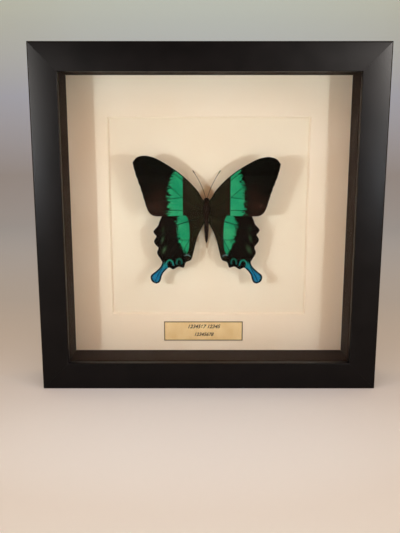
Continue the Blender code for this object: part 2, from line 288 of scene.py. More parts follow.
# Satin lacquer on wood: near black with a low broad sheen that drifts over 17 mm patches.  The film's
# fine orange peel is drawn at 1.1 mm so that it breaks up the sheen.
rail_lacquer = new_material("satin_black_lacquer")
position = add(rail_lacquer, "TexCoord").outputs["Object"]
mottle = add(rail_lacquer, "TexNoise", {"Vector": position, "Scale": 60.0, "Detail": 4.0}).outputs["Fac"]
tone = add(rail_lacquer, "ValToRGB", {"Fac": mottle}, stops=[(0.3, "#040303"), (0.75, "#070505")])
gloss = add(rail_lacquer, "MapRange", {"Value": mottle, "To Min": 0.32, "To Max": 0.40}).outputs["Result"]
orange_peel = add(rail_lacquer, "TexNoise", {"Vector": position, "Scale": 900.0, "Detail": 2.0})
bump = add(rail_lacquer, "Bump", {
    "Height": orange_peel.outputs["Fac"], "Strength": 0.12, "Distance": 0.0002,
})
shader = add(rail_lacquer, "BsdfPrincipled", {
    "Base Color": tone.outputs["Color"], "Roughness": gloss, "Specular IOR Level": 0.10,
    "Normal": bump.outputs["Normal"],
})
add(rail_lacquer, "OutputMaterial", {"Surface": shader.outputs[0]})

rails = bpy.data.collections.new("rails")
scene.collection.children.link(rails)
for lamp in rail_light:
    lamp.light_linking.receiver_collection = rails
for quarter, side in enumerate(QUARTERS):
    rail = place(f"rail_{side}", bar(f"rail_{side}", rail_profile, quarter), rail_lacquer)
    rails.objects.link(rail)
    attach(rail, "root")
    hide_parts(f"frame_rail_{side}")

# ==== spacers =========================================================================================
# Four strips of black-brown foam board, stood on edge inside the rebate.  They hold the mat away from the
# glass and line the inside of the box.

# Foam board: dull dark paper over foam, with fibres drawn 1.4 mm apart so that they show.
spacer_board = new_material("black_foam_board")
position = add(spacer_board, "TexCoord").outputs["Object"]
fibre = add(spacer_board, "TexNoise", {"Vector": position, "Scale": 700.0, "Detail": 3.0}).outputs["Fac"]
tone = add(spacer_board, "ValToRGB", {"Fac": fibre}, stops=[(0.3, "#2F2622"), (0.7, "#3A302A")])
bump = add(spacer_board, "Bump", {"Height": fibre, "Strength": 0.08, "Distance": 0.0001})
shader = add(spacer_board, "BsdfPrincipled", {
    "Base Color": tone.outputs["Color"], "Roughness": 0.9, "Specular IOR Level": 0.05,
    "Normal": bump.outputs["Normal"],
})
add(spacer_board, "OutputMaterial", {"Surface": shader.outputs[0]})
for side in QUARTERS:
    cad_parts[f"spacer_{side}"].data.materials[0] = spacer_board

# ==== glass ===========================================================================================
# One pane of thin, clean picture glass behind the lip.  It is the coated, low-reflection kind, which is
# drawn with a low index so that it hardly mirrors the room.

picture_glass = new_material("picture_glass")
clear = add(picture_glass, "BsdfPrincipled", {
    "Base Color": linear("#FAFDFC"), "Roughness": 0.0, "IOR": 1.12, "Transmission Weight": 1.0,
})
ray = add(picture_glass, "LightPath")
through = add(picture_glass, "BsdfTransparent", {"Color": linear("#F8FBFA")})
pane = add(picture_glass, "MixShader", {
    0: ray.outputs["Is Shadow Ray"], 1: clear.outputs[0], 2: through.outputs[0],
})
add(picture_glass, "OutputMaterial", {"Surface": pane.outputs[0]})
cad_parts["glass_pane"].data.materials[0] = picture_glass

# ==== mat and mount card ==============================================================================
# A cream mat with a square window cut at 45 degrees, so that its core shows as a thin bevel, and a card
# of nearly the same warm cream behind it, which carries the insect.

WINDOW_HALF = 0.1515 / 2
BEVEL_CLEARANCE = 0.00005


def board_finish(name, shadow, light, core=None):
    """Uncoated picture board: a soft 70 mm mottle, and paper fibres drawn 0.7 mm apart so that they show.

    `core` is the colour of the inside of the board, where the bevel cuts it.
    """
    board = new_material(name)
    position = add(board, "TexCoord").outputs["Object"]
    cloud = add(board, "TexNoise", {"Vector": position, "Scale": 14.0, "Detail": 3.0}).outputs["Fac"]
    colour = add(board, "ValToRGB", {"Fac": cloud}, stops=[(0.3, shadow), (0.7, light)]).outputs["Color"]
    fibre = add(board, "TexNoise", {"Vector": position, "Scale": 1500.0, "Detail": 4.0}).outputs["Fac"]
    if core:
        place_in = add(board, "SeparateXYZ", {"Vector": position})
        across = add(board, "Math", {0: place_in.outputs["X"]}, operation="ABSOLUTE").outputs[0]
        up = add(board, "Math", {0: place_in.outputs["Z"], 1: MIDDLE_Z}, operation="SUBTRACT").outputs[0]
        up = add(board, "Math", {0: up}, operation="ABSOLUTE").outputs[0]
        out = add(board, "Math", {0: across, 1: up}, operation="MAXIMUM").outputs[0]
        inside = add(board, "Math", {0: out, 1: WINDOW_HALF - BEVEL_CLEARANCE}, operation="LESS_THAN")
        mix = add(board, "Mix", {0: inside.outputs[0], 6: colour, 7: linear(core)}, data_type="RGBA")
        colour = mix.outputs[2]
    bump = add(board, "Bump", {"Height": fibre, "Strength": 0.15, "Distance": 0.0001})
    shader = add(board, "BsdfPrincipled", {
        "Base Color": colour, "Roughness": 0.85, "Specular IOR Level": 0.2,
        "Normal": bump.outputs["Normal"],
    })
    add(board, "OutputMaterial", {"Surface": shader.outputs[0]})
    return board


mat_board = board_finish("cream_mat_board", "#FAE6CB", "#FEEDD6", "#FAE8CE")
mount_board = board_finish("cream_mount_card", "#F3E2C8", "#F9EBD3")
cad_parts["window_mat"].data.materials[0] = mat_board
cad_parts["mount_card"].data.materials[0] = mount_board

# ==== label ===========================================================================================
# A slip of tan paper glued low on the mat, with a dark brown line round its edge and two short lines of
# sloped figures.

label_low, label_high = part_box("name_label")
LABEL_MIDDLE = (label_low + label_high) / 2
LABEL_HALF = (label_high - label_low) / 2
BORDER = 0.0008
# Each line's figures, its height above the middle of the slip and the size of its type.
LABEL_LINES = (("1234567 12345", 0.0036, 0.00406), ("12345678", -0.0028, 0.00378))

# Uncoated tan paper: an aged, cloudy tone over 11 mm patches and a 0.6 mm tooth, with a dark brown line
# round its edge.
label_stock = new_material("tan_label_paper")
position = add(label_stock, "TexCoord").outputs["Object"]
cloud = add(label_stock, "TexNoise", {"Vector": position, "Scale": 90.0, "Detail": 5.0}).outputs["Fac"]
tan = add(label_stock, "ValToRGB", {"Fac": cloud}, stops=[(0.3, "#EBC68B"), (0.7, "#F8DAA4")])
place_in = add(label_stock, "SeparateXYZ", {"Vector": position})
edges = []
for axis, middle, half in (("X", LABEL_MIDDLE.x, LABEL_HALF.x), ("Z", LABEL_MIDDLE.z, LABEL_HALF.z)):
    off = add(label_stock, "Math", {0: place_in.outputs[axis], 1: middle}, operation="SUBTRACT").outputs[0]
    off = add(label_stock, "Math", {0: off}, operation="ABSOLUTE").outputs[0]
    edges.append(add(label_stock, "Math", {0: half, 1: off}, operation="SUBTRACT").outputs[0])
margin = add(label_stock, "Math", {0: edges[0], 1: edges[1]}, operation="MINIMUM").outputs[0]
border = add(label_stock, "MapRange", {
    "Value": margin, "From Min": BORDER * 0.8, "From Max": BORDER * 1.1, "To Min": 0.85, "To Max": 0.0,
}).outputs["Result"]
bordered = add(label_stock, "Mix", {
    0: border, 6: tan.outputs["Color"], 7: linear("#4A3424"),
}, data_type="RGBA")
fibre = add(label_stock, "TexNoise", {"Vector": position, "Scale": 1800.0, "Detail": 3.0}).outputs["Fac"]
bump = add(label_stock, "Bump", {"Height": fibre, "Strength": 0.2, "Distance": 0.0001})
shader = add(label_stock, "BsdfPrincipled", {
    "Base Color": bordered.outputs[2], "Roughness": 0.8, "Specular IOR Level": 0.2,
    "Normal": bump.outputs["Normal"],
})
add(label_stock, "OutputMaterial", {"Surface": shader.outputs[0]})
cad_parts["name_label"].data.materials[0] = label_stock

# The figures lean over, are a little bolder than the type, and lie just on the slip.
INK_SLOPE = 0.35
INK_SWELL = 0.00009
INK_HALF_DEPTH = 0.00003
INK_STAND_OFF = 0.00004

# Brown printing ink: dull, and uneven every 0.4 mm where the paper takes it.
brown_ink = new_material("brown_printing_ink")
position = add(brown_ink, "TexCoord").outputs["Object"]
cover = add(brown_ink, "TexNoise", {"Vector": position, "Scale": 2500.0, "Detail": 2.0}).outputs["Fac"]
tone = add(brown_ink, "ValToRGB", {"Fac": cover}, stops=[(0.35, "#24100A"), (0.7, "#351A10")])
shader = add(brown_ink, "BsdfPrincipled", {"Base Color": tone.outputs["Color"], "Roughness": 0.7})
add(brown_ink, "OutputMaterial", {"Surface": shader.outputs[0]})

for number, (figures, rise, size) in enumerate(LABEL_LINES, start=1):
    curve = bpy.data.curves.new("figures", "FONT")
    curve.body = figures
    curve.size = size
    curve.shear = INK_SLOPE
    curve.align_x = "CENTER"
    curve.align_y = "CENTER"
    curve.extrude = INK_HALF_DEPTH
    curve.offset = INK_SWELL
    guide = bpy.data.objects.new("figures", curve)
    scene.collection.objects.link(guide)
    mesh = bpy.data.meshes.new_from_object(guide.evaluated_get(bpy.context.evaluated_depsgraph_get()))
    bpy.data.objects.remove(guide)
    mesh.transform(Matrix((
        (1, 0, 0, LABEL_MIDDLE.x), (0, 0, -1, label_low.y - INK_STAND_OFF),
        (0, 1, 0, LABEL_MIDDLE.z + rise), (0, 0, 0, 1),
    )))
    mesh.materials.clear()
    printed = place(f"label_figures_{number}", mesh, brown_ink)
    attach(printed, "root")

# ==== wings ===========================================================================================
# Four dried wings, spread flat and a little raised at the tips.  Stiff veins carry a thin membrane that
# is covered with overlapping scales.  Distances are in millimetres: u out from the middle line of the
# insect, v above the base of the frame, h off the face of the mat.

body_low, body_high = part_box("butterfly_body")
BODY_X = (body_low.x + body_high.x) / 2
MAT_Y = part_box("window_mat")[0].y
ROOT = 1.6
GRID_STEP = 0.25
MEMBRANE = 0.00012
# Each wing's height at the body, and how fast it rises outwards.
FORE_HEIGHT = 10.3
FORE_RISE = 0.13
HIND_HEIGHT = 9.0
HIND_RISE = 0.055


def spline(knots, where):
    """Points on the smooth (Catmull-Rom) curve through the knots, at knot numbers `where`."""
    knots = np.asarray(knots, float)
    guide = np.concatenate([knots[:1], knots, knots[-1:]])
    i = np.minimum(np.asarray(where).astype(int), len(knots) - 2)
    t = (where - i)[:, None]
    a, b, c, d = guide[i], guide[i + 1], guide[i + 2], guide[i + 3]
    return b + 0.5 * ((c - a) * t + (2 * a - 5 * b + 4 * c - d) * t**2 + (3 * b - a - 3 * c + d) * t**3)


def evenly(knots, step):
    """Knot numbers at equal steps along the smooth curve through the knots."""
    fine = np.linspace(0, len(knots) - 1, 60 * len(knots))
    length = np.cumsum(np.linalg.norm(np.diff(spline(knots, fine), axis=0), axis=1))
    length = np.concatenate([[0.0], length])
    return np.interp(np.linspace(0, length[-1], int(length[-1] / step) + 2), length, fine)


def resampled(knots, count):
    """A set number of points at equal steps along the smooth curve through the knots."""
    fine = spline(knots, np.linspace(0, len(knots) - 1, 60 * len(knots)))
    length = np.concatenate([[0.0], np.cumsum(np.linalg.norm(np.diff(fine, axis=0), axis=1))])
    even = np.linspace(0, length[-1], count)
    return np.stack([np.interp(even, length, fine[:, axis]) for axis in range(fine.shape[1])], axis=1)


def patch(low, high, inner, outer):
    """A Coons surface inside four edges: the blend of each facing pair, less the blend of the corners."""
    s = np.linspace(0, 1, len(low))[None, :, None]
    t = np.linspace(0, 1, len(inner))[:, None, None]
    corners = (1 - t) * ((1 - s) * low[0] + s * low[-1]) + t * ((1 - s) * high[0] + s * high[-1])
    return (1 - t) * low + t * high + (1 - s) * inner[:, None] + s * outer[:, None] - corners


def distance_to(line, uv):
    """Distance from each grid point to a smooth line: the least over its 39 short straight steps."""
    path = resampled(line, 40)
    start, step = path[:-1], np.diff(path, axis=0)
    offset = uv.reshape(-1, 1, 2) - start
    share = np.clip((offset * step).sum(-1) / (step * step).sum(-1), 0, 1)
    gap = np.linalg.norm(offset - share[..., None] * step, axis=-1)
    return gap.min(axis=1).reshape(uv.shape[:2])


def nearest(lines, uv):
    """Distance from each grid point to the nearest of several lines."""
    return np.min([distance_to(line, uv) for line in lines], axis=0)


def fade(value, start, end):
    """A smooth step, 3t^2 - 2t^3: 0 at `start`, 1 at `end`."""
    t = np.clip((value - start) / (end - start), 0, 1)
    return t * t * (3 - 2 * t)


def spot(uv, centre, size, angle=0.0):
    """A soft oval spot, exp(-(long^2 + wide^2)): 1 in its middle, about a third at its half axes.

    The angle turns it, in degrees.
    """
    turn = np.radians(angle)
    du, dv = uv[..., 0] - centre[0], uv[..., 1] - centre[1]
    long = du * np.cos(turn) + dv * np.sin(turn)
    wide = dv * np.cos(turn) - du * np.sin(turn)
    return np.exp(-((long / size[0]) ** 2) - (wide / size[1]) ** 2)


def wing(name, side, uv, h, masks, material):
    """A wing on one side of the insect (-1 left, 1 right) from its grid, heights and pattern masks.

    Its skin faces the glass and is thickened backwards into a membrane.
    """
    points = np.stack([BODY_X + side * uv[..., 0] / 1000, MAT_Y - h / 1000, uv[..., 1] / 1000], axis=-1)
    mesh = surface(name, points, weld=0)
    for key, values in masks.items():
        layer = mesh.attributes.new(key, "FLOAT", "POINT")
        layer.data.foreach_set("value", values.astype(np.float32).ravel())
    if mesh.polygons[0].normal.y > 0:
        mesh.flip_normals()
    shape = bmesh.new()
    shape.from_mesh(mesh)
    bmesh.ops.remove_doubles(shape, verts=shape.verts, dist=1e-6)
    shape.to_mesh(mesh)
    shape.free()
    item = place(name, mesh, material)
    skin = item.modifiers.new("membrane", "SOLIDIFY")
    skin.thickness = MEMBRANE
    skin.offset = -1.0
    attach(item, "root")
    return item


# Forewing edges and veins.
LEADING_EDGE = [
    (ROOT, 139.0), (3.9, 142.0), (6.8, 147.0), (14.9, 155.6), (24.5, 163.2), (35.8, 170.0), (42.0, 172.2),
    (46.5, 172.6), (51.0, 171.3), (54.0, 167.8),
]
OUTER_EDGE = [(41.8, 130.2), (44.3, 134.7), (48.2, 148.2), (52.0, 159.4), (54.0, 167.8)]
TRAILING_EDGE = [(ROOT, 128.6), (20.0, 128.4), (34.0, 128.2), (39.0, 128.6), (41.8, 130.2)]
FORE_ROOT = [(ROOT, 128.6), (ROOT, 139.0)]
FORE_VEINS = [
    [(ROOT, 137.5), (14.5, 154.5), (30.0, 165.8), (44.0, 171.5)],
    [(ROOT, 135.5), (14.0, 150.5), (24.0, 159.5), (31.0, 163.0), (48.0, 171.5)],
    [(31.0, 162.5), (40.0, 165.5), (53.0, 168.5)],
    [(33.0, 160.0), (43.0, 162.5), (53.5, 165.0)],
    [(33.0, 157.0), (43.0, 158.5), (52.0, 159.0)],
    [(31.0, 153.5), (40.0, 153.5), (50.0, 152.5)],
    [(26.5, 149.5), (36.0, 147.5), (47.0, 145.0)],
    [(18.0, 142.0), (31.0, 140.5), (44.5, 138.0)],
    [(ROOT, 132.5), (10.0, 136.5), (18.0, 142.0), (26.5, 149.5), (31.0, 153.5)],
    [(31.0, 163.0), (33.5, 159.5), (33.0, 157.0), (31.0, 153.5)],
    [(ROOT, 130.8), (20.0, 132.5), (42.5, 132.0)],
]

trailing = resampled(TRAILING_EDGE, 230)
leading = resampled(LEADING_EDGE, 230)
outer = resampled(OUTER_EDGE, 160)
# Seven shallow scallops, strongest half way down.
outer[:, 0] += 0.28 * np.sin(np.linspace(0, 7 * 2 * pi, 160)) * np.sin(np.linspace(0, pi, 160))
fore_uv = patch(trailing, leading, resampled(FORE_ROOT, 160), outer)
u, v = fore_uv[..., 0], fore_uv[..., 1]
fore_vein = nearest(FORE_VEINS, fore_uv)
costa = distance_to(LEADING_EDGE, fore_uv)
# The green band's straight inner edge, and knots of its outer one.
BAND_INNER = 17.7
BAND_EDGE = [
    (28.2, 127.0), (28.2, 130.0), (28.4, 137.5), (27.4, 149.0), (25.4, 157.0), (23.4, 162.5), (21.4, 168.0),
]
band_out = np.interp(v, [z for _, z in BAND_EDGE], [x for x, _ in BAND_EDGE])
# The masks are stored on the mesh: a distance in millimetres, or an amount from 0 to 1.
fore_masks = {
    "vein": fore_vein,
    "inner": u - BAND_INNER,
    "outer": band_out - u,
    "edge": np.minimum(costa, 3.0),
    "dust": fade(BAND_INNER - u, 0.0, 8.0) * fade(v, 129.0, 140.0),
    # Painted shadow: near black along the trailing edge close to the body, where the forewing overlaps the
    # hindwing.
    "painted_trailing_shadow": 0.7 * (1 - fade(distance_to(TRAILING_EDGE, fore_uv), 0.2, 1.0)) * (1 - fade(u, 14.0, 19.0)),
    "brown": 0.75 * spot(fore_uv, (38.5, 134.0), (10.0, 6.5), 20)
    + 0.45 * spot(fore_uv, (34.5, 144.0), (5.5, 7.0)),
}
# Height off the mat: the wing rises outwards, and its veins stand proud of the sagging membrane.
ridge = 0.10 * np.exp(-((fore_vein / 0.3) ** 2)) - 0.16 * (1 - np.exp(-((fore_vein / 1.6) ** 2)))
rib = 0.10 * np.exp(-((costa / 0.5) ** 2))
wave = 0.25 * np.sin(v / 9.0) * fade(u, 15, 45)
fore_h = FORE_HEIGHT + FORE_RISE * u - 1.0 * fade(-u, -7.0, -2.0) + ridge + rib + wave

# Hindwing: lines run from the outer margin to the inner one, and both meet at the tip of the tail.
HIND_OUTER = [
    (ROOT, 131.0), (20.0, 132.5), (31.0, 131.0), (35.2, 125.2), (36.2, 122.2), (39.6, 118.2), (39.4, 116.2),
    (37.6, 114.2), (38.6, 112.2), (39.5, 110.2), (38.8, 108.2), (36.8, 106.0), (36.3, 103.6), (37.3, 100.8),
    (36.6, 98.3), (33.6, 94.8), (34.6, 90.0), (38.4, 86.0), (42.3, 82.6), (41.7, 78.2), (38.3, 76.2),
]
# The number of the inner knot that faces each outer one.
HIND_STATIONS = [0, 1, 2, 3, 3.6, 4, 4.4, 5, 5.6, 6, 6.4, 7, 7.5, 8, 8.5, 9, 10, 11, 12, 13, 14]
HIND_INNER = [
    (ROOT, 122.5), (6.8, 112.0), (9.6, 101.1), (11.6, 94.7), (15.6, 92.6), (17.4, 88.6), (21.3, 89.3),
    (25.2, 87.3), (28.4, 88.6), (31.0, 86.6), (32.9, 84.4), (34.1, 82.0), (34.6, 79.6), (36.0, 77.2),
    (38.3, 76.2),
]
HIND_VEINS = [
    [(ROOT, 129.5), (18.0, 130.5), (34.0, 125.5)],
    [(ROOT, 128.5), (20.0, 122.0), (38.5, 118.0)],
    [(ROOT, 128.5), (14.0, 123.5), (21.0, 121.5)],
    [(21.0, 121.5), (30.0, 116.5), (38.8, 110.0)],
    [(22.5, 114.5), (30.0, 108.5), (36.5, 100.8)],
    [(21.0, 111.0), (31.8, 95.5), (33.6, 89.0), (36.6, 83.5), (38.8, 78.5)],
    [(17.5, 109.8), (24.0, 100.0), (28.5, 89.8)],
    [(12.5, 110.5), (18.0, 100.0), (21.0, 90.5)],
    [
        (ROOT, 126.0), (8.5, 116.0), (12.5, 110.5), (17.5, 109.8), (21.0, 111.0), (22.5, 114.5),
        (21.0, 121.5),
    ],
    [(ROOT, 124.0), (7.5, 110.0), (13.0, 96.0)],
]
where = evenly(HIND_OUTER, GRID_STEP)
margin_out = spline(HIND_OUTER, where)
margin_in = spline(HIND_INNER, np.interp(where, np.arange(len(HIND_STATIONS)), HIND_STATIONS))
share = np.linspace(0, 1, 110)[None, :, None]
hind_uv = (1 - share) * margin_out[:, None] + share * margin_in[:, None]
u, v = hind_uv[..., 0], hind_uv[..., 1]
hind_vein = nearest(HIND_VEINS, hind_uv)
hind_edge = np.minimum(distance_to(HIND_OUTER, hind_uv), distance_to(HIND_INNER, hind_uv))
# The green leaf: heights up it, with the distances of its inner and outer edges.
LEAF_TIP = 98.6
LEAF = [
    (98.3, 15.4, 15.4), (99.5, 14.7, 16.3), (102.0, 13.6, 17.7), (104.0, 13.2, 18.6), (113.0, 12.7, 21.5),
    (121.0, 13.0, 22.9), (125.5, 13.8, 22.3), (128.0, 15.2, 21.0), (129.6, 17.5, 19.0),
]
leaf_v, leaf_in, leaf_out = np.array(LEAF).T
# Two teal hooks near the lower margin, and a pale arc by the eyespot.
HOOKS = [
    [(29.4, 87.5), (30.6, 91.5), (28.6, 94.3), (26.2, 93.6), (25.0, 90.6)],
    [(22.6, 91.6), (22.2, 94.3), (20.4, 95.4), (18.9, 93.8), (18.8, 91.8)],
]
EYE_ARC = [(12.4, 97.2), (13.9, 98.4), (16.2, 97.8)]
tail = fade(-v, -94.0, -90.0) * fade(hind_edge, 0.7, 1.8) * fade(u, 29.0, 32.0)
hind_masks = {
    "vein": hind_vein,
    "inner": u - np.interp(v, leaf_v, leaf_in),
    "outer": np.interp(v, leaf_v, leaf_out) - u - 3 * np.maximum(LEAF_TIP - v, 0),
    "edge": hind_edge + 0.4,
    "dust": fade(13.5 - u, 0.0, 5.0),
    "lunule": 0.45 * spot(hind_uv, (32.7, 118.5), (2.0, 0.7), 95)
    + 0.7 * spot(hind_uv, (33.0, 111.0), (2.2, 0.8), 110)
    + spot(hind_uv, (31.9, 102.5), (2.6, 1.0), 120),
    "hook": (1 - fade(nearest(HOOKS, hind_uv), 0.25, 0.85)) * (0.5 + 0.4 * fade(u, 22.0, 26.0)),
    "tail": tail,
    "rib": 0.75 * tail * (1 - fade(hind_vein, 0.1, 0.7)),
    "pale": 0.45 * (1 - fade(distance_to(EYE_ARC, hind_uv), 0.1, 0.6)),
    "low": fade(-v, -96.0, -84.0),
}
ridge = 0.10 * np.exp(-((hind_vein / 0.3) ** 2)) - 0.16 * (1 - np.exp(-((hind_vein / 1.6) ** 2)))
hind_h = HIND_HEIGHT + HIND_RISE * u + ridge + 0.2 * np.sin(v / 7.0)


def wing_finish(name, keys, dark, fringe):
    """Scale-covered membrane: a velvety dark ground, a feathered green band, darker veins, small marks, and
    a painted shadow along the forewing's trailing edge.

    Scales are about 0.1 mm wide; their rows are drawn as 0.7 mm streaks, three times as long as wide, so
    that they show.  The green drifts over 9 mm patches.
    """
    scales = new_material(name)
    position = add(scales, "TexCoord").outputs["Object"]
    mask = {key: add(scales, "Attribute", attribute_name=key).outputs["Fac"] for key in keys}
    rows = add(scales, "Mapping", {"Vector": position, "Scale": (0.35, 1.0, 1.0)}).outputs["Vector"]
    streak = add(scales, "TexNoise", {"Vector": rows, "Scale": 1400.0, "Detail": 3.0}).outputs["Fac"]
    tuft = add(scales, "TexNoise", {"Vector": rows, "Scale": 950.0, "Detail": 3.0}).outputs["Fac"]
    cloud = add(scales, "TexNoise", {"Vector": position, "Scale": 110.0, "Detail": 2.0}).outputs["Fac"]

    colour = add(scales, "ValToRGB", {"Fac": streak}, stops=dark).outputs["Color"]
    olive = add(scales, "ValToRGB", {"Fac": streak}, stops=[(0.35, "#140D06"), (0.75, "#241B0F")])
    basal = add(scales, "MapRange", {"Value": mask["inner"], "From Min": 0.3, "From Max": -0.3})
    speck = add(scales, "MapRange", {"Value": tuft, "From Min": 0.50, "From Max": 0.64, "To Max": 0.4})
    dusting = add(scales, "Math", {0: speck.outputs["Result"], 1: mask["dust"]}, operation="MULTIPLY")

    # The band lies between two edges; its outer one is broken by rows of scales of unequal length.
    feather = add(scales, "MapRange", {
        "Value": tuft, "From Min": 0.35, "From Max": 0.65, "To Min": -fringe, "To Max": fringe,
    }).outputs["Result"]
    ragged = add(scales, "Math", {0: mask["outer"], 1: feather}, operation="ADD").outputs[0]
    band = 1.0
    for depth, low, high in ((ragged, -0.25, 0.35), (mask["inner"], -0.12, 0.18), (mask["edge"], 0.5, 0.9)):
        within = add(scales, "MapRange", {"Value": depth, "From Min": low, "From Max": high})
        both = add(scales, "Math", {0: band, 1: within.outputs["Result"]}, operation="MULTIPLY")
        band = both.outputs[0]
    green = add(scales, "ValToRGB", {"Fac": cloud}, stops=[
        (0.30, "#138458"), (0.5, "#1F9060"), (0.70, "#329A65"),
    ]).outputs["Color"]
    fleck = add(scales, "MapRange", {
        "Value": streak, "From Min": 0.35, "From Max": 0.65, "To Min": 0.72, "To Max": 1.0,
    })
    green = add(scales, "Mix", {
        0: 1.0, 6: green, 7: fleck.outputs["Result"],
    }, data_type="RGBA", blend_type="MULTIPLY").outputs[2]
    vein = add(scales, "MapRange", {
        "Value": mask["vein"], "From Min": 0.12, "From Max": 0.40, "To Min": 0.85, "To Max": 0.0,
    }).outputs["Result"]

    layers = [(basal.outputs["Result"], olive.outputs["Color"]), (dusting.outputs[0], linear("#33381F"))]
    if "brown" in mask:
        # The near black along the forewing's trailing edge is a painted shadow.
        layers += [(mask["brown"], linear("#2A1811")), (mask["painted_trailing_shadow"], linear("#050302"))]
    layers += [(band, green), (vein, linear("#07140D"))]
    if "tail" in mask:
        teal = add(scales, "Mix", {
            0: mask["low"], 6: linear("#197F63"), 7: linear("#1A6F95"),
        }, data_type="RGBA").outputs[2]
        layers += [
            (mask["lunule"], linear("#3C573B")), (mask["hook"], teal), (mask["tail"], teal),
            (mask["pale"], linear("#7FA5A9")), (mask["rib"], linear("#0A1E2A")),
        ]
    for amount, over in layers:
        colour = add(scales, "Mix", {0: amount, 6: colour, 7: over}, data_type="RGBA").outputs[2]
    bump = add(scales, "Bump", {"Height": streak, "Strength": 0.35, "Distance": 0.0002})
    shader = add(scales, "BsdfPrincipled", {
        "Base Color": colour, "Roughness": 0.65, "Specular IOR Level": 0.03,
        "Normal": bump.outputs["Normal"],
    })
    add(scales, "OutputMaterial", {"Surface": shader.outputs[0]})
    return scales


FORE_GROUND = [(0.3, "#030201"), (0.7, "#080503")]
HIND_GROUND = [(0.3, "#070201"), (0.7, "#0E0504")]
fore_scales = wing_finish("forewing_scales", fore_masks, FORE_GROUND, 2.2)
hind_scales = wing_finish("hindwing_scales", hind_masks, HIND_GROUND, 1.8)

# The dried pair is not quite even: the right apex sags a little and so does the left hindwing's margin.
apex = 0.04 * np.maximum(fore_uv[..., 0] - 20, 0) * fade(fore_uv[..., 1], 135, 160)
margin = 1.2 * fade(hind_uv[..., 0], 28, 36) * fade(hind_uv[..., 1], 102, 108)
for side_name, side in (("left", -1), ("right", 1)):
    fore_drop = np.stack([0 * apex, apex * (side > 0)], axis=-1)
    hind_drop = np.stack([0 * margin, margin * (side < 0)], axis=-1)
    tilt = 0.15 * side * np.sin(fore_uv[..., 1] / 6.0 + side)
    fore = wing(f"wing_fore_{side_name}", side, fore_uv - fore_drop, fore_h + tilt, fore_masks, fore_scales)
    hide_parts(f"forewing_{side_name}")
    hind = wing(f"wing_hind_{side_name}", side, hind_uv - hind_drop, hind_h, hind_masks, hind_scales)
    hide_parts(f"hindwing_{side_name}")

# ==== body ============================================================================================
# A dried body in three parts, black-brown and clothed in short hair; the abdomen is slim and ringed.
# The hairs lean back from their roots.  It is glued to the block behind it.

BODY_H = (MAT_Y - (body_low.y + body_high.y) / 2) * 1000
BODY_PROFILE = [
    (0.0, 141.4), (1.3, 140.9), (1.8, 139.6), (1.5, 138.3), (2.3, 137.2), (3.1, 135.0), (3.3, 132.6),
    (2.9, 130.0), (1.8, 127.2), (1.5, 125.0), (1.6, 122.0), (1.6, 118.0), (1.35, 113.5), (0.9, 109.3),
    (0.0, 106.8),
]


def body_point(u, v, radius, angle):
    """A point of the body: `radius` from a centre line at (u, v), at an angle round it from the right."""
    return np.stack(np.broadcast_arrays(
        BODY_X + (u + radius * np.cos(angle)) / 1000,
        MAT_Y - (BODY_H + radius * np.sin(angle)) / 1000,
        v / 1000,
    ), axis=-1)


outline = resampled(BODY_PROFILE, 150)
radius, level = outline[:, :1], outline[:, 1:]
rings = 0.06 * np.sin(level * 2 * pi / 2.4) * fade(-level, -127.0, -124.0) * fade(radius, 0.2, 1.0)
angle = np.linspace(0, 2 * pi, 48, endpoint=False)[None, :]
body_mesh = surface("insect_body", body_point(0.0, level, radius + rings, angle), wrap=True, weld=1e-6)

# Dried chitin: dull and black-brown, with pits drawn 0.8 mm apart so that they show.
chitin = new_material("dark_chitin")
position = add(chitin, "TexCoord").outputs["Object"]
grain = add(chitin, "TexNoise", {"Vector": position, "Scale": 1200.0, "Detail": 4.0}).outputs["Fac"]
tone = add(chitin, "ValToRGB", {"Fac": grain}, stops=[(0.3, "#120906"), (0.7, "#22140C")])
bump = add(chitin, "Bump", {"Height": grain, "Strength": 0.5, "Distance": 0.0002})
shader = add(chitin, "BsdfPrincipled", {
    "Base Color": tone.outputs["Color"], "Roughness": 0.6, "Specular IOR Level": 0.08,
    "Normal": bump.outputs["Normal"],
})
add(chitin, "OutputMaterial", {"Surface": shader.outputs[0]})
body = place("insect_body", body_mesh, chitin)
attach(body, "root")
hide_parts("butterfly_body")

# Each hair is a three-sided tube of three rings; the thorax has the longest ones.
HAIRS = 4200
HAIR_TOP = 140.8
HAIR_RUN = 32.0
HAIR_SINK = 0.08
SHORT_HAIR = 0.35
THORAX_EXTRA = 1.0
rng = np.random.default_rng(7)
pick = rng.uniform(0, 1, HAIRS) ** 1.15
level = HAIR_TOP - pick * HAIR_RUN
root_radius = np.interp(-level, -outline[:, 1], outline[:, 0])
around = rng.uniform(0, 2 * pi, HAIRS)
# 1 on the head and thorax, fading to 0 down the first 5 mm of the abdomen.
thorax = 1 - fade(138.5 - level, 9.0, 14.0)
length = (SHORT_HAIR + THORAX_EXTRA * thorax) * rng.uniform(0.6, 1.25, HAIRS)
lean = rng.uniform(0.35, 1.0, HAIRS) * length
stray = rng.normal(0, 0.18, HAIRS)
stations = np.array([0.0, 0.5, 1.0])[:, None]
centre_radius = root_radius - HAIR_SINK + stations * length * 0.75 - stations**2 * 0.25 * length
centre_level = level - stations * lean * 0.8
centre_angle = around + stations * stray
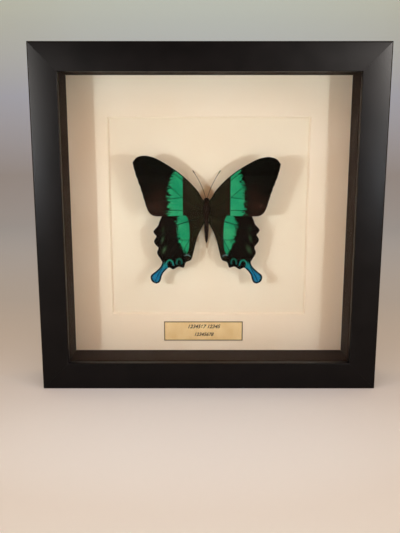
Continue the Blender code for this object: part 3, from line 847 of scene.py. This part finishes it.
# Half widths at the root, the middle and the tip.
thick = np.array([0.045, 0.032, 0.004])[:, None, None]
corner = np.linspace(0, 2 * pi, 3, endpoint=False)
spread_u = thick * np.cos(corner)
spread_v = thick * np.sin(corner)
hair = np.stack(np.broadcast_arrays(
    BODY_X + ((centre_radius * np.cos(centre_angle))[..., None] + spread_u) / 1000,
    MAT_Y - (BODY_H + (centre_radius * np.sin(centre_angle))[..., None]) / 1000,
    (centre_level[..., None] + spread_v) / 1000,
), axis=-1)
hair = hair.transpose(1, 0, 2, 3)
first = np.arange(HAIRS * 9).reshape(HAIRS, 3, 3)
following = np.roll(first, -1, axis=2)
sides = np.stack([first[:, :-1], following[:, :-1], following[:, 1:], first[:, 1:]], axis=-1).reshape(-1, 4)
hair_mesh = bpy.data.meshes.new("body_hair")
hair_mesh.from_pydata(hair.reshape(-1, 3).tolist(), [], sides.tolist())
hair_mesh.shade_smooth()

# Fine dull hair: its brown shifts over about a millimetre, as tufts catch the light.
hair_finish = new_material("brown_body_hair")
position = add(hair_finish, "TexCoord").outputs["Object"]
shift = add(hair_finish, "TexNoise", {"Vector": position, "Scale": 900.0, "Detail": 2.0}).outputs["Fac"]
tone = add(hair_finish, "ValToRGB", {"Fac": shift}, stops=[(0.3, "#170D08"), (0.75, "#382416")])
shader = add(hair_finish, "BsdfPrincipled", {
    "Base Color": tone.outputs["Color"], "Roughness": 0.55, "Specular IOR Level": 0.06,
})
add(hair_finish, "OutputMaterial", {"Surface": shader.outputs[0]})
fur = place("body_hair", hair_mesh, hair_finish)
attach(fur, "root")

# The eyes are smooth dark domes on the sides of the head.  Their facets, really some 0.02 mm wide, are
# drawn at 0.14 mm so that they break up the highlight.
EYE_APART = 1.35
EYE_FORWARD = 0.35
EYE_LEVEL = 139.8
EYE_HALF = (0.75, 1.05, 1.1)
polar = np.linspace(0, pi, 20)[:, None]
azimuth = np.linspace(0, 2 * pi, 28, endpoint=False)[None, :]
eye_finish = new_material("dark_compound_eye")
position = add(eye_finish, "TexCoord").outputs["Object"]
facets = add(eye_finish, "TexVoronoi", {"Vector": position, "Scale": 7000.0}).outputs["Distance"]
tone = add(eye_finish, "ValToRGB", {"Fac": facets}, stops=[(0.0, "#2A1A14"), (0.6, "#0C0706")])
bump = add(eye_finish, "Bump", {"Height": facets, "Strength": 0.2, "Distance": 0.0001})
shader = add(eye_finish, "BsdfPrincipled", {
    "Base Color": tone.outputs["Color"], "Roughness": 0.3, "Normal": bump.outputs["Normal"],
})
add(eye_finish, "OutputMaterial", {"Surface": shader.outputs[0]})
for side_name, side in (("left", -1), ("right", 1)):
    ball = np.stack(np.broadcast_arrays(
        BODY_X + (side * EYE_APART + EYE_HALF[0] * np.sin(polar) * np.cos(azimuth)) / 1000,
        MAT_Y - (BODY_H + EYE_FORWARD + EYE_HALF[1] * np.sin(polar) * np.sin(azimuth)) / 1000,
        (EYE_LEVEL + EYE_HALF[2] * np.cos(polar)) / 1000,
    ), axis=-1)
    eye = place(f"eye_{side_name}", surface(f"eye_{side_name}", ball, wrap=True), eye_finish)
    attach(eye, "root")

# ==== antennae ========================================================================================
# Two thin ringed feelers that part from the head and thicken into a slim club.  They are set in a shallow
# arch towards the glass.

ANTENNA_ARCH = 0.4
ANTENNA_PATH = [(0.6, 141.0), (2.7, 147.6), (6.0, 154.5), (9.2, 159.8), (10.4, 161.6)]


def tube(name, path, radii, sides=10):
    """A round tube: circles of the given radii at the points of a path, square to it."""
    ahead = np.gradient(path, axis=0)
    ahead /= np.linalg.norm(ahead, axis=1, keepdims=True)
    across = np.cross(ahead, (0.0, 1.0, 0.0))
    across /= np.linalg.norm(across, axis=1, keepdims=True)
    other = np.cross(ahead, across)
    turn = np.linspace(0, 2 * pi, sides, endpoint=False)
    ring = np.cos(turn)[None, :, None] * across[:, None] + np.sin(turn)[None, :, None] * other[:, None]
    return surface(name, path[:, None] + radii[:, None, None] * ring, wrap=True, cap=True, weld=0)


# Dried feeler: slightly glossy brown, its shade changing every 0.7 mm or so like its rings.
feeler_finish = new_material("brown_feeler")
position = add(feeler_finish, "TexCoord").outputs["Object"]
band = add(feeler_finish, "TexNoise", {"Vector": position, "Scale": 1500.0, "Detail": 1.0}).outputs["Fac"]
tone = add(feeler_finish, "ValToRGB", {"Fac": band}, stops=[(0.35, "#1C110C"), (0.7, "#3B2417")])
shader = add(feeler_finish, "BsdfPrincipled", {
    "Base Color": tone.outputs["Color"], "Roughness": 0.5, "Specular IOR Level": 0.3,
})
add(feeler_finish, "OutputMaterial", {"Surface": shader.outputs[0]})
# The radius swells at each ring, then into the club, and tapers off at its end.
feeler = resampled(ANTENNA_PATH, 90)
run = np.linspace(0, 1, len(feeler))
feeler_radius = 0.17 + 0.012 * np.sin(run * 144) + 0.20 * fade(run, 0.84, 0.95)
feeler_radius *= 1 - 0.75 * fade(run, 0.97, 1.0)
for side_name, side in (("left", -1), ("right", 1)):
    path = np.stack([
        BODY_X + side * feeler[:, 0] / 1000,
        MAT_Y - (BODY_H + ANTENNA_ARCH * np.sin(run * pi)) / 1000,
        feeler[:, 1] / 1000,
    ], axis=1)
    feeler_mesh = tube(f"feeler_{side_name}", path, feeler_radius / 1000)
    antenna = place(f"feeler_{side_name}", feeler_mesh, feeler_finish)
    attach(antenna, "root")
    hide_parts(f"antenna_{side_name}")

# ==== support =========================================================================================
# A small block of cork glued between the body and the card, hidden behind the insect.  It lifts the wings
# clear of the card.

# Cork: dull tan grains about 1.1 mm wide, darker where they meet.
cork = new_material("natural_cork")
position = add(cork, "TexCoord").outputs["Object"]
cells = add(cork, "TexVoronoi", {"Vector": position, "Scale": 900.0}).outputs["Distance"]
tone = add(cork, "ValToRGB", {"Fac": cells}, stops=[(0.1, "#6E4A2C"), (0.6, "#B08658")])
bump = add(cork, "Bump", {"Height": cells, "Strength": 0.4, "Distance": 0.0002})
shader = add(cork, "BsdfPrincipled", {
    "Base Color": tone.outputs["Color"], "Roughness": 0.9, "Normal": bump.outputs["Normal"],
})
add(cork, "OutputMaterial", {"Surface": shader.outputs[0]})
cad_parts["specimen_support"].data.materials[0] = cork

# ==== back panel ======================================================================================
# A sheet of hardboard that closes the back of the frame, laid in the rebate behind the card and held by
# the steel tabs.

# Pressed brown fibre with a faint sheen: a 1.1 mm fleck inside 29 mm clouds.
hardboard = new_material("brown_hardboard")
position = add(hardboard, "TexCoord").outputs["Object"]
cloud = add(hardboard, "TexNoise", {"Vector": position, "Scale": 35.0, "Detail": 6.0}).outputs["Fac"]
fibre = add(hardboard, "TexNoise", {"Vector": position, "Scale": 900.0, "Detail": 4.0}).outputs["Fac"]
mixed = add(hardboard, "Math", {0: cloud, 1: fibre}, operation="MULTIPLY").outputs[0]
tone = add(hardboard, "ValToRGB", {"Fac": mixed}, stops=[(0.1, "#664429"), (0.45, "#86603D")])
bump = add(hardboard, "Bump", {"Height": fibre, "Strength": 0.3, "Distance": 0.0002})
shader = add(hardboard, "BsdfPrincipled", {
    "Base Color": tone.outputs["Color"], "Roughness": 0.65, "Specular IOR Level": 0.35,
    "Normal": bump.outputs["Normal"],
})
add(hardboard, "OutputMaterial", {"Surface": shader.outputs[0]})
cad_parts["back_panel"].data.materials[0] = hardboard

# ==== tabs, hanger and rivets =========================================================================
# Flat zinc-plated steel tabs bent over the panel, and a brass-plated toothed hanger held by two rivets.

# Zinc plating: a cool grey metal, more matt in the scuffs, which are some 2 mm apart.
zinc = new_material("zinc_plated_steel")
position = add(zinc, "TexCoord").outputs["Object"]
scuff = add(zinc, "TexNoise", {"Vector": position, "Scale": 500.0, "Detail": 5.0}).outputs["Fac"]
tone = add(zinc, "ValToRGB", {"Fac": scuff}, stops=[(0.3, "#9A9B9A"), (0.7, "#BDBEBB")])
rough = add(zinc, "MapRange", {"Value": scuff, "To Min": 0.28, "To Max": 0.5}).outputs["Result"]
shader = add(zinc, "BsdfPrincipled", {
    "Base Color": tone.outputs["Color"], "Roughness": rough, "Metallic": 1.0,
})
add(zinc, "OutputMaterial", {"Surface": shader.outputs[0]})

# Bright brass plating, scuffed in the same way.
brass = new_material("brass_plated_steel")
position = add(brass, "TexCoord").outputs["Object"]
scuff = add(brass, "TexNoise", {"Vector": position, "Scale": 500.0, "Detail": 5.0}).outputs["Fac"]
tone = add(brass, "ValToRGB", {"Fac": scuff}, stops=[(0.3, "#A8843E"), (0.7, "#C9A55C")])
rough = add(brass, "MapRange", {"Value": scuff, "To Min": 0.25, "To Max": 0.45}).outputs["Result"]
shader = add(brass, "BsdfPrincipled", {
    "Base Color": tone.outputs["Color"], "Roughness": rough, "Metallic": 1.0,
})
add(brass, "OutputMaterial", {"Surface": shader.outputs[0]})

for side in QUARTERS:
    for number in (1, 2):
        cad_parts[f"flex_tab_{side}_{number}"].data.materials[0] = zinc
for name in ("sawtooth_hanger", "hanger_rivet_1", "hanger_rivet_2"):
    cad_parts[name].data.materials[0] = brass
